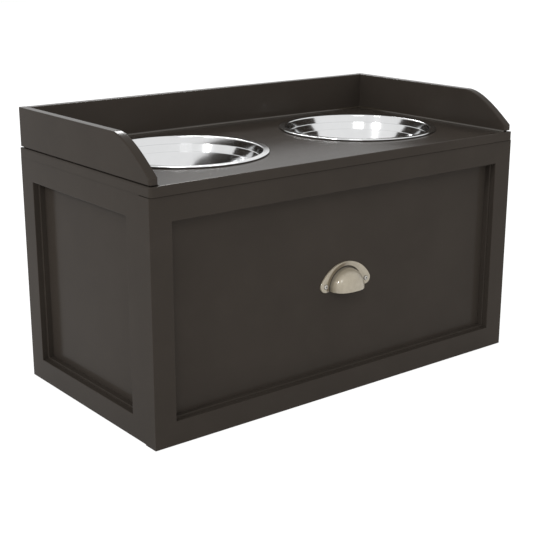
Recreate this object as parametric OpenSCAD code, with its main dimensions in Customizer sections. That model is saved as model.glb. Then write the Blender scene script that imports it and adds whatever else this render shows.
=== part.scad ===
// Raised feeder: a cabinet with one deep drawer, two lift-out bowls in its top
// board and a low gallery round three sides of that board. The drawer faces -Y
// and the origin is on the floor in the middle of the footprint. Inside the
// modules y = 0 is the face of the drawer front, and each piece is then moved
// back to the origin by placed().

/* [Overall] */
// Width of the drawer front, which stands past the cabinet at each side
front_w = 600; // [560:5:720]
// Depth from the face of the drawer front to the back of the cabinet
depth = 312; // [296:1:400]
// Height of the cabinet under the top board
carcass_h = 304; // [270:1:400]

/* [Framed panels] */
// Width of the stiles and rails
member_w = 30; // [26:1:45]
// Thickness of the framed panels
frame_t = 22; // [21:0.5:26]
// Depth of the face of the centre panel behind the face of the frame
recess_d = 15; // [12:0.5:16]
// Depth of the small ledge that steps the inner edge of the frame
ledge_d = 7.5; // [4:0.5:10]
// Width of that ledge
ledge_w = 3; // [1.5:0.5:6]
// Thickness of the tongue round the centre panel
tongue_t = 4; // [3:0.5:4.5]
// Depth of the groove that holds the tongue
groove_d = 7; // [5:0.5:9]
// Play of tongues in their grooves
joint_play = 0.15; // [0.1:0.05:0.25]
// Easing of the outer edges of the framed panels
frame_ease = 0.5; // [0.25:0.25:2.5]

/* [Top board and gallery] */
// Thickness of the top board
board_t = 12; // [10:0.5:18]
// How far the top board stands past the drawer front
board_overhang = 1.5; // [0.5:0.5:4]
// How far the top board stands past each side of the cabinet
board_side_overhang = 1; // [0.5:0.5:3]
// Radius of the upright corners of the top board
board_corner_r = 3.5; // [2.5:0.5:8]
// Easing of the upper edges of the top board
board_ease = 2; // [0.5:0.25:4]
// Height of the gallery above the top board
gallery_h = 52; // [40:1:80]
// Thickness of the gallery boards
gallery_t = 12; // [10:0.5:15]
// Easing of the upper edges of the gallery boards
gallery_ease = 1.5; // [0.5:0.25:4]
// Length of the curved slope at the front of each wing
wing_slope = 79; // [50:1:110]
// Height of the blunt nose of each wing
wing_nose = 8.5; // [4:0.5:16]
// How far the nose stands behind the face of the drawer front
wing_setback = 0.5; // [0.5:0.5:20]

/* [Cabinet] */
// How far the drawer front stands past each side of the cabinet
side_inset = 2; // [1:0.5:6]
// Thickness of the floor panel
floor_t = 12; // [10:0.5:18]
// Height of the floor panel above the ground
floor_z = 8; // [4:0.5:9]
// Thickness of the back panel
back_t = 6; // [4:0.5:8]
// Width of the rebate that holds the back panel in each rear stile
rebate_w = 8; // [6:0.5:12]
// Thickness of the stretchers under the top board
stretcher_t = 18; // [16:0.5:19]
// Height of the stretchers
stretcher_h = 25; // [22:1:30]
// Gap between the drawer front and the cabinet when shut
front_gap = 1.2; // [1:0.1:2]
// Thickness of the bumper pads that the drawer front shuts against
bumper_t = 0.9; // [0.6:0.1:0.9]
// Radius of the bumper pads
bumper_r = 4; // [3:0.5:6]

/* [Drawer] */
// Gap under the drawer front
front_bottom_gap = 1; // [0.5:0.5:5]
// Gap between the drawer front and the top board
front_top_gap = 0.5; // [0.4:0.1:4]
// Thickness of the drawer box boards
box_t = 12; // [10:0.5:15]
// Thickness of the drawer bottom
box_bottom_t = 5; // [3:0.5:6]
// Height of the drawer bottom above the lower edge of the box
box_bottom_z = 8; // [6:0.5:14]
// Gap between the floor panel and the drawer box
box_floor_gap = 4; // [2:0.5:10]
// Gap between the top of the drawer box and the bowls
box_bowl_gap = 15; // [8:1:60]
// Gap between the drawer box and the back panel
box_rear_gap = 20; // [6:1:40]
// Room for one runner between the box and the cabinet side
runner_room = 12.7; // [12:0.1:14]
// Height of the middle of the runners above the ground
runner_z = 104; // [60:1:160]
// Height of the runner channels
channel_h = 35; // [32:1:45]
// Height of the slides that run in the channels
slide_h = 25; // [20:1:26]
// Thickness of the runner steel
steel_t = 1.2; // [1:0.1:1.5]
// Running clearance of the slides
slide_play = 0.25; // [0.2:0.05:0.4]
// Gap between the mouth of a channel and the drawer box
channel_side_gap = 3.5; // [3:0.1:5]
// Gap between a slide and the side of the cabinet
slide_side_gap = 4.2; // [3.5:0.1:5]
// Setback of the channels behind the front stiles' faces
channel_setback = 3; // [1:0.5:8]
// Gap between the channels and the back panel
channel_rear_gap = 2; // [1:0.5:8]
// Gap between the drawer front and the slides
slide_setback = 2; // [1:0.5:5]
// Gap between the slides and the rear end of the box
slide_rear_gap = 8; // [2:0.5:20]
// Width of the glide strips in the channels
strip_d = 6; // [4:0.5:7]

/* [Cup pull] */
// Distance between the two screws of the pull
pull_screw_pitch = 69; // [64:1:90]
// Radius of the rounded ends of the pull plate, round the screws
pull_end_r = 8; // [7:0.5:9]
// Rise of the plate's arch above the screws
pull_arch_rise = 28; // [26:0.5:34]
// Thickness of the pull plate
pull_plate_t = 2.4; // [2:0.2:3]
// Radius of the round foot of the cup
pull_cup_r = 26; // [22:0.5:27]
// Rise of the middle of that foot above the open mouth
pull_cup_lift = 2; // [0:0.5:4]
// How far the cup stands out from the panel
pull_reach = 21; // [18:0.5:26]
// Wall of the cup
pull_wall = 2; // [1.5:0.25:3]
// Fullness of the cup, from 2 for an ellipse to squarer
pull_fullness = 2.5; // [2:0.1:3]
// Depth of the groove round the foot of the cup
pull_groove = 1.2; // [0.6:0.1:1.4]
// Sideways place of the pull, to the right of the middle
pull_x = 5; // [-60:1:60]
// How far the open mouth lies below the middle of the drawer front
pull_drop = 13; // [-20:0.5:40]

/* [Bowls] */
// Distance between the middles of the bowls
bowl_pitch = 300; // [260:1:316]
// Outer radius of the rim
bowl_rim_r = 111.5; // [109:0.5:114]
// Radius of the mouth inside the rim
bowl_mouth_r = 102; // [98:0.5:103]
// Depth from the rim to the inside of the bottom
bowl_depth = 66; // [50:1:80]
// Height of each of the two upper bands of the wall
bowl_band_h = 10; // [7:0.5:13]
// Width of the ledge under each band
bowl_ledge = 2.5; // [1.5:0.25:4]
// Lean of the wall in each band
bowl_lean = 1; // [0.5:0.25:2]
// Radius of the flat bottom
bowl_floor_r = 72; // [60:1:76]
// Radius of the curve between wall and bottom
bowl_fillet = 14; // [8:0.5:18]
// Radius of the curve over the lip of the mouth
bowl_lip_r = 2; // [1.5:0.25:3]
// Radius of the rolled edge of the rim
bowl_bead_r = 1.1; // [0.9:0.1:1.5]
// Thickness of the sheet
bowl_sheet = 1; // [0.8:0.1:1.5]
// Play of a bowl in its hole
bowl_play = 1.5; // [1:0.25:3]
// Clearance of the rolled edge over the top board
bowl_seat = 0.2; // [0.1:0.05:0.4]

/* [Fasteners] */
// Radius of the wood screws
screw_r = 2; // [1.5:0.25:2.25]
// Radius of the wood screws' heads
screw_head_r = 3.6; // [3:0.2:3.8]
// Height of a countersunk head
screw_head_h = 2.2; // [1.8:0.1:2.4]
// Height of a pan head
pan_head_h = 1.8; // [1.4:0.1:2]
// Radius of the wooden dowels
dowel_r = 3; // [2.5:0.25:3.5]
// Length of the dowels
dowel_len = 28; // [24:1:32]
// Radius of the pull's screws
pull_screw_r = 1.75; // [1.5:0.25:2]
// Radius of the round heads of the pull's screws
pull_head_r = 2.9; // [2.6:0.1:3.6]
// Height of those heads
pull_head_h = 1.8; // [1.4:0.1:2.2]
// Width of the cross recess in those heads
pull_recess_w = 0.7; // [0.5:0.1:1]
// Depth of that recess
pull_recess_d = 0.8; // [0.5:0.1:1]
// Length of the pull's screws
pull_screw_len = 16; // [12:0.5:18]
// Bite of the gallery screws above the top board
gallery_screw_bite = 18; // [12:1:30]
// Bite of the back panel's screws
back_screw_bite = 10; // [8:0.5:14]
// Bite of the stretchers' screws in the top board
board_screw_bite = 8; // [6:0.5:9]
// Wood between the top board and the heads of those screws
board_screw_web = 12; // [8:0.5:16]
// Length of the runner channels' screws
channel_screw_len = 16; // [12:0.5:18]
// Length of the slides' screws
slide_screw_len = 10; // [8:0.5:10]
// Length of the drawer box's corner screws
box_screw_len = 30; // [24:1:40]
// Wood left before the tips of the drawer front's screws
front_screw_rest = 1.5; // [1:0.25:3]
// Play of a screw head in its counterbore
head_play = 0.5; // [0.3:0.1:1]

/* [Hidden] */
$fn = 64;
paint = [0.235, 0.216, 0.196];
zinc = [0.72, 0.73, 0.75];
fit = 0.05;
cut = 1;

// Cabinet
front_reach = max(pull_reach - recess_d, board_overhang);
y_middle = (depth - front_reach) / 2;
side_x = front_w / 2 - side_inset;
inner_x = side_x - frame_t;
side_y = frame_t + front_gap;
side_len = depth - side_y;
back_y = depth - back_t;
board_z = carcass_h;
top_z = carcass_h + board_t;
panel_t = frame_t - recess_d;
tongue_y = recess_d + (panel_t - tongue_t) / 2;
bead_r = bowl_bead_r;

// Drawer
front_h = carcass_h - front_bottom_gap - front_top_gap;
bowl_rim_z = bowl_seat + 2 * bead_r;
bowl_low_z = top_z + bowl_rim_z - bowl_depth - bowl_sheet;
box_x = inner_x - runner_room;
box_z = floor_z + floor_t + box_floor_gap;
box_h = bowl_low_z - box_bowl_gap - box_z;
box_len = back_y - box_rear_gap - frame_t;
box_groove = box_t / 2;
channel_y = side_y + channel_setback;
channel_len = back_y - channel_rear_gap - channel_y;
channel_d = runner_room - channel_side_gap;
slide_y = frame_t + slide_setback;
slide_len = box_len - slide_setback - slide_rear_gap;
slide_d = runner_room - slide_side_gap;

// Fixing points
wing_x = side_x - gallery_t / 2;
rail_y = depth - gallery_t / 2;
wing_screw_first = wing_setback + wing_slope;
wing_screw_last = depth - 2.5 * gallery_t;
wing_screw_y = [wing_screw_first, (wing_screw_first + wing_screw_last) / 2, wing_screw_last];
rail_screw_x = [for (i = [-1.5:1:1.5]) i * side_x / 2.2];
gallery_screw_xy = concat([for (s = [-1, 1]) for (y = wing_screw_y) [s * wing_x, y]],
                          [for (x = rail_screw_x) [x, rail_y]]);
gallery_screw_len = board_t + gallery_screw_bite;
stretcher_y = [side_y, back_y - stretcher_t];
stretcher_z = board_z - stretcher_h;
board_screw_xy = [for (y = stretcher_y) for (i = [-1:1]) [i * inner_x * 0.78, y + stretcher_t / 2]];
dowel_in = dowel_len * 0.4;
floor_dowel_y = [for (f = [0.12, 0.5, 0.88]) side_y + f * (back_y - side_y)];
floor_dowel_z = floor_z + floor_t / 2;
stretcher_dowel_z = [for (f = [0.25, 0.75]) stretcher_z + f * stretcher_h];
back_low_z = floor_z;
back_screw_z = [for (f = [0.18, 0.5, 0.8]) f * carcass_h];
back_screw_x = inner_x + rebate_w / 2;
back_edge_x = [for (i = [-1.5:1:1.5]) i * inner_x * 0.36];
back_stretcher_z = board_z - stretcher_h / 2;
back_screw_len = back_t + back_screw_bite;
channel_screw_y = [side_y + member_w / 2, depth - member_w / 2];
slide_screw_y = [for (f = [0.12, 0.5, 0.88]) slide_y + f * slide_len];
box_screw_z = [for (f = [0.2, 0.5, 0.8]) box_z + f * box_h];
front_screw_x = [for (i = [-1, 1]) i * box_x * 0.82];
front_screw_z = [for (f = [0.14, 0.5, 0.86]) box_z + f * box_h];
front_screw_len = box_t + panel_t - front_screw_rest;
bumper_z = [for (f = [0.12, 0.88]) f * carcass_h];

// Cup pull
pull_z = front_bottom_gap + front_h / 2 - pull_drop;
pull_screw_z = pull_z + pull_end_r;
arch_r = (pow(pull_screw_pitch / 2, 2) + pow(pull_arch_rise - pull_end_r, 2))
         / (2 * (pull_arch_rise - pull_end_r)) + pull_end_r;
arch_drop = arch_r - pull_arch_rise;

// Places a piece drawn from the face of the drawer front in the part's frame
module placed() {
    translate([0, -y_middle, 0]) children();
}

// Rectangle from the origin with rounded corners
module round_rect(w, h, r) {
    translate([r, 0]) square([w - 2 * r, h]);
    translate([0, r]) square([w, h - 2 * r]);
    for (x = [r, w - r]) for (y = [r, h - r]) translate([x, y]) circle(r);
}

// Rectangle from the origin with its two upper corners rounded
module soft_top_rect(w, h, r) {
    translate([r, 0]) square([w - 2 * r, h]);
    square([w, h - r]);
    for (x = [r, w - r]) translate([x, h - r]) circle(r);
}

// Board from the origin with rounded upright corners and eased upper edges
module eased_board(size, corner_r, ease) {
    intersection() {
        linear_extrude(size[2]) round_rect(size[0], size[1], corner_r);
        translate([0, size[1] + cut, 0]) rotate([90, 0, 0])
            linear_extrude(size[1] + 2 * cut) soft_top_rect(size[0], size[2], ease);
        translate([-cut, 0, 0]) rotate([90, 0, 90])
            linear_extrude(size[0] + 2 * cut) soft_top_rect(size[1], size[2], ease);
    }
}

// Countersunk screw, head at the origin and tip towards +Z
module screw(len, play = 0) {
    cylinder(h = screw_head_h, r1 = screw_head_r + play, r2 = screw_r + play);
    cylinder(h = len, r = screw_r + play);
}

// Pan-head screw, underside of the head at the origin and tip towards +Z
module pan_screw(len, play = 0) {
    if (play == 0) translate([0, 0, -pan_head_h])
        cylinder(h = pan_head_h, r1 = screw_head_r * 0.85, r2 = screw_head_r);
    cylinder(h = len, r = screw_r + play);
}

// Framed panels. A member's section has its outer edge at x = 0 and its face
// at y = 0. The inner edge carries the groove for tongues and stub tenons.
module member_section() {
    difference() {
        union() {
            translate([frame_ease, 0]) square([member_w - frame_ease, frame_t]);
            translate([0, frame_ease]) square([member_w, frame_t - frame_ease]);
            translate([frame_ease, frame_ease]) circle(frame_ease);
        }
        translate([member_w - groove_d, tongue_y]) square([groove_d + cut, tongue_t]);
    }
}

// Ledge that steps the inner edge, from x = member_w to the open panel
module ledge_section() {
    translate([member_w, ledge_d]) square([ledge_w, recess_d - ledge_d]);
}

// Left stile of a frame of height h, standing from the origin
module stile(h) {
    linear_extrude(h) member_section();
    translate([0, 0, member_w]) linear_extrude(h - 2 * member_w) ledge_section();
}

// Bottom rail of a frame of width w, between the stiles, with its stub tenons
module rail(w) {
    long = w - 2 * member_w;
    tenon = groove_d - joint_play;
    translate([w - member_w, 0, 0]) rotate([0, -90, 0]) linear_extrude(long) member_section();
    translate([w - member_w - ledge_w, 0, 0]) rotate([0, -90, 0])
        linear_extrude(long - 2 * ledge_w) ledge_section();
    for (x = [member_w - tenon, w - member_w])
        translate([x, tongue_y + joint_play, 0])
            cube([tenon, tongue_t - 2 * joint_play, member_w - groove_d]);
}

// Centre panel of a frame of w by h, its tongue standing in the lower groove
module centre_panel(w, h) {
    reach = groove_d - joint_play;
    translate([member_w + joint_play, recess_d, member_w + joint_play])
        cube([w - 2 * (member_w + joint_play), panel_t, h - 2 * (member_w + joint_play)]);
    translate([member_w - reach, tongue_y + joint_play, member_w - groove_d])
        cube([w - 2 * (member_w - reach), tongue_t - 2 * joint_play,
              h - 2 * member_w + groove_d + reach]);
}

// Turns a frame drawn facing -Y into the left side of the cabinet
module as_left_side() {
    translate([-side_x, depth, 0]) rotate([0, 0, -90]) children();
}

// Drawer front's own frame, standing from its lower left corner
module as_front() {
    translate([-front_w / 2, 0, front_bottom_gap]) children();
}

module flip_x(w) { translate([w, 0, 0]) mirror([1, 0, 0]) children(); }

module flip_z(h) { translate([0, 0, h]) mirror([0, 0, 1]) children(); }

// Side frame pieces, drawn for the left side
module side_rear_stile() {
    difference() {
        as_left_side() stile(carcass_h);
        translate([-inner_x - rebate_w, back_y, back_low_z - joint_play])
            cube([rebate_w + cut, back_t + cut, carcass_h]);
        stretcher_dowel_holes();
        back_stile_holes();
        channel_holes();
    }
}

module side_front_stile() {
    difference() {
        as_left_side() flip_x(side_len) stile(carcass_h);
        stretcher_dowel_holes();
        channel_holes();
    }
}

module side_top_rail() {
    as_left_side() flip_z(carcass_h) rail(side_len);
}

module side_bottom_rail() {
    difference() {
        as_left_side() rail(side_len);
        at_floor_dowels() dowel(fit);
    }
}

module side_panel() {
    as_left_side() centre_panel(side_len, carcass_h);
}

// Dowel along X, from the side inwards, centred on the joint
module dowel(play = 0) {
    translate([-dowel_in, 0, 0]) rotate([0, 90, 0]) cylinder(h = dowel_len, r = dowel_r + play);
}

module at_floor_dowels() {
    for (s = [0, 1]) mirror([s, 0, 0]) for (y = floor_dowel_y)
        translate([-inner_x, y, floor_dowel_z]) children();
}

module at_stretcher_dowels() {
    for (s = [0, 1]) mirror([s, 0, 0]) for (y = stretcher_y) for (z = stretcher_dowel_z)
        translate([-inner_x, y + stretcher_t / 2, z]) children();
}

module stretcher_dowel_holes() { at_stretcher_dowels() dowel(fit); }

// Places of the back panel's screws, tips towards -Y
module back_place(x, z) { translate([x, depth, z]) rotate([90, 0, 0]) children(); }

module back_stile_holes() {
    for (s = [-1, 1]) for (z = back_screw_z)
        back_place(s * back_screw_x, z) screw(back_screw_len, fit);
}

module back_edge_holes() {
    for (x = back_edge_x) for (z = [back_stretcher_z, floor_dowel_z])
        back_place(x, z) screw(back_screw_len, fit);
}

// Screws of the runner channels, tips outwards
module at_channel_screws() {
    for (s = [0, 1]) mirror([s, 0, 0]) for (y = channel_screw_y)
        translate([-inner_x + steel_t, y, runner_z]) rotate([0, -90, 0]) children();
}

module channel_holes() { at_channel_screws() pan_screw(channel_screw_len, fit); }

module at_gallery_screws() {
    for (p = gallery_screw_xy) translate([p[0], p[1], board_z]) children();
}

module at_board_screws() {
    for (p = board_screw_xy) translate([p[0], p[1], board_z - board_screw_web]) children();
}

// Top board and gallery
module top_board() {
    w = 2 * (side_x + board_side_overhang);
    color(paint) placed() difference() {
        translate([-w / 2, -board_overhang, board_z])
            eased_board([w, depth + board_overhang, board_t], board_corner_r, board_ease);
        for (s = [-1, 1]) translate([s * bowl_pitch / 2, depth / 2, board_z - cut])
            cylinder(h = board_t + 2 * cut, r = bowl_mouth_r + bowl_sheet + bowl_play, $fn = 128);
        at_gallery_screws() screw(gallery_screw_len, fit);
        at_board_screws() cylinder(h = board_screw_web + board_screw_bite + fit, r = screw_r + fit);
    }
}

// Point at t along the cubic curve with the four given points
function curve(p, t) = pow(1 - t, 3) * p[0] + 3 * t * pow(1 - t, 2) * p[1]
                     + 3 * t * t * (1 - t) * p[2] + pow(t, 3) * p[3];

// Side view of a wing: level along the back, then a shoulder that falls in
// one long curve to the blunt nose
module wing_outline() {
    nose = [wing_setback, wing_nose];
    shoulder = [wing_setback + wing_slope, gallery_h];
    drop = gallery_h - wing_nose;
    guide = [shoulder, shoulder - [0.3 * wing_slope, 0],
             nose + [0.33 * wing_slope, 0.5 * drop], nose];
    polygon(concat([[depth, 0], [depth, gallery_h]],
                   [for (i = [0:16]) curve(guide, i / 16)], [[wing_setback, 0]]));
}

module wing() {
    plan_r = min(board_corner_r, gallery_t / 3);
    difference() {
        intersection() {
            translate([-side_x, 0, top_z]) rotate([90, 0, 90])
                linear_extrude(gallery_t) wing_outline();
            translate([-side_x, wing_setback, top_z - cut])
                linear_extrude(gallery_h + 2 * cut)
                    round_rect(gallery_t + plan_r, depth - wing_setback, plan_r);
            translate([-side_x, depth + cut, top_z]) rotate([90, 0, 0])
                linear_extrude(depth + 2 * cut) soft_top_rect(gallery_t, gallery_h, gallery_ease);
        }
        at_gallery_screws() screw(gallery_screw_len + fit, fit);
    }
}

module gallery_left_wing() { color(paint) placed() wing(); }

module gallery_right_wing() { color(paint) placed() mirror([1, 0, 0]) wing(); }

module gallery_back_rail() {
    span = side_x - gallery_t;
    color(paint) placed() difference() {
        translate([-span, depth - gallery_t, top_z]) rotate([90, 0, 90])
            linear_extrude(2 * span) soft_top_rect(gallery_t, gallery_h, gallery_ease);
        at_gallery_screws() screw(gallery_screw_len + fit, fit);
    }
}

module gallery_screws() {
    color(zinc) placed() at_gallery_screws() screw(gallery_screw_len);
}

// Sides
module left_front_stile() { color(paint) placed() side_front_stile(); }

module left_rear_stile() { color(paint) placed() side_rear_stile(); }

module left_top_rail() { color(paint) placed() side_top_rail(); }

module left_bottom_rail() { color(paint) placed() side_bottom_rail(); }

module left_panel() { color(paint) placed() side_panel(); }

module right_front_stile() { color(paint) placed() mirror([1, 0, 0]) side_front_stile(); }

module right_rear_stile() { color(paint) placed() mirror([1, 0, 0]) side_rear_stile(); }

module right_top_rail() { color(paint) placed() mirror([1, 0, 0]) side_top_rail(); }

module right_bottom_rail() { color(paint) placed() mirror([1, 0, 0]) side_bottom_rail(); }

module right_panel() { color(paint) placed() mirror([1, 0, 0]) side_panel(); }

// Back, floor and stretchers
module back_panel() {
    x = inner_x + rebate_w - joint_play;
    color(paint) placed() difference() {
        translate([-x, back_y, back_low_z]) cube([2 * x, back_t, carcass_h - back_low_z]);
        back_stile_holes();
        back_edge_holes();
    }
}

module back_screws() {
    color(zinc) placed() {
        for (s = [-1, 1]) for (z = back_screw_z)
            back_place(s * back_screw_x, z) screw(back_screw_len);
        for (x = back_edge_x) for (z = [back_stretcher_z, floor_dowel_z])
            back_place(x, z) screw(back_screw_len);
    }
}

module floor_panel() {
    color(paint) placed() difference() {
        translate([-inner_x, side_y, floor_z]) cube([2 * inner_x, back_y - side_y, floor_t]);
        at_floor_dowels() dowel(fit);
        back_edge_holes();
    }
}

module stretcher(y) {
    difference() {
        translate([-inner_x, y, stretcher_z]) cube([2 * inner_x, stretcher_t, stretcher_h]);
        stretcher_dowel_holes();
        back_edge_holes();
        at_board_screws() {
            cylinder(h = board_screw_web + cut, r = screw_r + fit);
            translate([0, 0, -stretcher_h])
                cylinder(h = stretcher_h, r = screw_head_r + head_play);
        }
    }
}

module front_stretcher() { color(paint) placed() stretcher(stretcher_y[0]); }

module rear_stretcher() { color(paint) placed() stretcher(stretcher_y[1]); }

module carcass_dowels() {
    color([0.8, 0.67, 0.48]) placed() {
        at_floor_dowels() dowel();
        at_stretcher_dowels() dowel();
    }
}

module board_screws() {
    color(zinc) placed() at_board_screws() pan_screw(board_screw_web + board_screw_bite);
}

module bumpers() {
    color([0.85, 0.84, 0.8]) placed() for (s = [-1, 1]) for (z = bumper_z)
        translate([s * (side_x - frame_t / 2), side_y, z]) rotate([90, 0, 0])
            cylinder(h = bumper_t, r = bumper_r);
}

// Runners, drawn for the left side
module channel() {
    difference() {
        translate([-inner_x, channel_y, runner_z - channel_h / 2])
            cube([channel_d, channel_len, channel_h]);
        translate([-inner_x + steel_t, channel_y - cut, runner_z - channel_h / 2 + steel_t])
            cube([channel_d, channel_len + 2 * cut, channel_h - 2 * steel_t]);
        channel_holes();
    }
}

module slide() {
    difference() {
        translate([-box_x - slide_d, slide_y, runner_z - slide_h / 2])
            cube([slide_d, slide_len, slide_h]);
        translate([-box_x - slide_d - steel_t, slide_y - cut, runner_z - slide_h / 2 + steel_t])
            cube([slide_d, slide_len + 2 * cut, slide_h - 2 * steel_t]);
        at_slide_screws() pan_screw(slide_screw_len, fit);
    }
}

module at_slide_screws() {
    for (s = [0, 1]) mirror([s, 0, 0]) for (y = slide_screw_y)
        translate([-box_x - steel_t, y, runner_z]) rotate([0, 90, 0]) children();
}

module left_runner_channel() { color(zinc) placed() channel(); }

module right_runner_channel() { color(zinc) placed() mirror([1, 0, 0]) channel(); }

// Strips that fill the room above and below each slide
module glide_strips() {
    low = slide_h / 2 + slide_play;
    tall = channel_h / 2 - steel_t - low;
    color([0.9, 0.9, 0.88]) placed() for (s = [0, 1]) mirror([s, 0, 0]) for (m = [0, 1])
        translate([-inner_x + channel_d - strip_d, channel_y, runner_z])
            mirror([0, 0, m]) translate([0, 0, low]) cube([strip_d, channel_len, tall]);
}

module channel_screws() { color(zinc) placed() at_channel_screws() pan_screw(channel_screw_len); }

module left_runner_slide() { color(zinc) placed() slide(); }

module right_runner_slide() { color(zinc) placed() mirror([1, 0, 0]) slide(); }

module slide_screws() { color(zinc) placed() at_slide_screws() pan_screw(slide_screw_len); }

// Drawer front
module front_left_stile() { color(paint) placed() as_front() stile(front_h); }

module front_right_stile() {
    color(paint) placed() as_front() flip_x(front_w) stile(front_h);
}

module front_top_rail() { color(paint) placed() as_front() flip_z(front_h) rail(front_w); }

module front_bottom_rail() { color(paint) placed() as_front() rail(front_w); }

module front_panel() {
    color(paint) placed() difference() {
        as_front() centre_panel(front_w, front_h);
        at_front_screws() screw(front_screw_len, fit);
        at_pull_screws() cylinder(h = pull_screw_len, r = pull_screw_r + fit);
    }
}

// Screws from inside the box into the drawer front, tips towards -Y
module at_front_screws() {
    for (x = front_screw_x) for (z = front_screw_z)
        translate([x, frame_t + box_t, z]) rotate([90, 0, 0]) children();
}

module front_screws() { color(zinc) placed() at_front_screws() screw(front_screw_len); }

// Drawer box
module box_side() {
    difference() {
        translate([-box_x, frame_t, box_z]) cube([box_t, box_len, box_h]);
        translate([-box_x + box_t - box_groove, frame_t - cut, box_z + box_bottom_z])
            cube([box_groove + cut, box_len + 2 * cut, box_bottom_t + joint_play]);
        at_slide_screws() pan_screw(slide_screw_len, fit);
        at_box_screws() screw(box_screw_len, fit);
    }
}

module box_end(y, groove_y) {
    x = box_x - box_t;
    difference() {
        translate([-x, y, box_z]) cube([2 * x, box_t, box_h]);
        translate([-x - cut, groove_y, box_z + box_bottom_z])
            cube([2 * (x + cut), box_groove, box_bottom_t + joint_play]);
        at_front_screws() screw(front_screw_len, fit);
        at_pull_screws() cylinder(h = pull_screw_len, r = pull_screw_r + fit);
        at_box_screws() screw(box_screw_len, fit);
    }
}

module at_box_screws() {
    for (s = [0, 1]) mirror([s, 0, 0])
        for (y = [frame_t + box_t / 2, frame_t + box_len - box_t / 2]) for (z = box_screw_z)
            translate([-box_x, y, z]) rotate([0, 90, 0]) children();
}

module box_left_side() { color(paint) placed() box_side(); }

module box_right_side() { color(paint) placed() mirror([1, 0, 0]) box_side(); }

module box_front() { color(paint) placed() box_end(frame_t, frame_t + box_t - box_groove); }

module box_back() {
    y = frame_t + box_len - box_t;
    color(paint) placed() box_end(y, y);
}

module box_bottom() {
    x = box_x - box_t + box_groove - joint_play;
    y = frame_t + box_t - box_groove + joint_play;
    color(paint) placed() translate([-x, y, box_z + box_bottom_z])
        cube([2 * x, box_len - 2 * (y - frame_t), box_bottom_t]);
}

module box_screws() { color(zinc) placed() at_box_screws() screw(box_screw_len); }

// Cup pull, drawn flat with the panel at z = 0, its mouth along the X axis and
// the arch towards +Y, then stood up against the panel
module as_pull() {
    translate([pull_x, recess_d, pull_z]) rotate([90, 0, 0]) children();
}

// Plate: an arch whose round ends run on into it, level along the mouth
module plate_outline() {
    half = pull_screw_pitch / 2;
    far = 3 * arch_r;
    lift = [0, pull_end_r - arch_drop];
    spread = atan2(arch_drop, half);
    intersection() {
        union() {
            intersection() {
                translate(lift) circle(arch_r, $fn = 128);
                polygon([lift, lift + far * [cos(spread), sin(spread)], [far, far],
                         [-far, far], lift + far * [-cos(spread), sin(spread)]]);
            }
            for (s = [-1, 1]) translate([s * half, pull_end_r]) circle(pull_end_r);
            translate([-half, 0]) square([2 * half, pull_end_r]);
        }
        translate([-far, 0]) square([2 * far, far]);
    }
}

// Quarter of the cup's section: radius against height, full near the foot
function cup_curve(r, h, n = 14) =
    [for (i = [0:n]) let (a = 90 * i / n)
        [r * pow(cos(a), 2 / pull_fullness), h * pow(sin(a), 2 / pull_fullness)]];

module cup_body(r, h) {
    translate([0, pull_cup_lift, 0])
        rotate_extrude($fn = 96) polygon(concat([[0, 0]], cup_curve(r, h)));
}

module cup_pull() {
    groove_r = pull_cup_r + pull_groove;
    color([0.65, 0.6, 0.52]) placed() as_pull() difference() {
        union() {
            difference() {
                linear_extrude(pull_plate_t) plate_outline();
                translate([0, pull_cup_lift, pull_plate_t])
                    rotate_extrude($fn = 96) translate([groove_r, 0]) circle(pull_groove);
            }
            cup_body(pull_cup_r, pull_reach);
        }
        translate([0, 0, -cut / 100]) cup_body(pull_cup_r - pull_wall, pull_reach - pull_wall);
        translate([-2 * pull_cup_r, -2 * pull_cup_r, -cut])
            cube([4 * pull_cup_r, 2 * pull_cup_r, pull_reach + 2 * cut]);
        for (s = [-1, 1]) translate([s * pull_screw_pitch / 2, pull_end_r, -cut])
            cylinder(h = pull_plate_t + 2 * cut, r = pull_screw_r + fit);
    }
}

// Screws of the pull, underside of the head at the origin, tips into the panel
module at_pull_screws() {
    for (s = [-1, 1])
        translate([pull_x + s * pull_screw_pitch / 2, recess_d - pull_plate_t, pull_screw_z])
            rotate([-90, 0, 0]) children();
}

module pull_screws() {
    dome_r = (pow(pull_head_r, 2) + pow(pull_head_h, 2)) / (2 * pull_head_h);
    arm = pull_head_r * 0.6;
    color([0.7, 0.66, 0.58]) placed() at_pull_screws() {
        cylinder(h = pull_screw_len - fit, r = pull_screw_r);
        difference() {
            translate([0, 0, dome_r - pull_head_h]) sphere(dome_r);
            translate([-2 * dome_r, -2 * dome_r, 0]) cube(4 * dome_r);
            for (a = [0, 90]) rotate(a)
                translate([-arm, -pull_recess_w / 2, -pull_head_h - cut])
                    cube([2 * arm, pull_recess_w, pull_recess_d + cut]);
        }
    }
}

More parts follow.
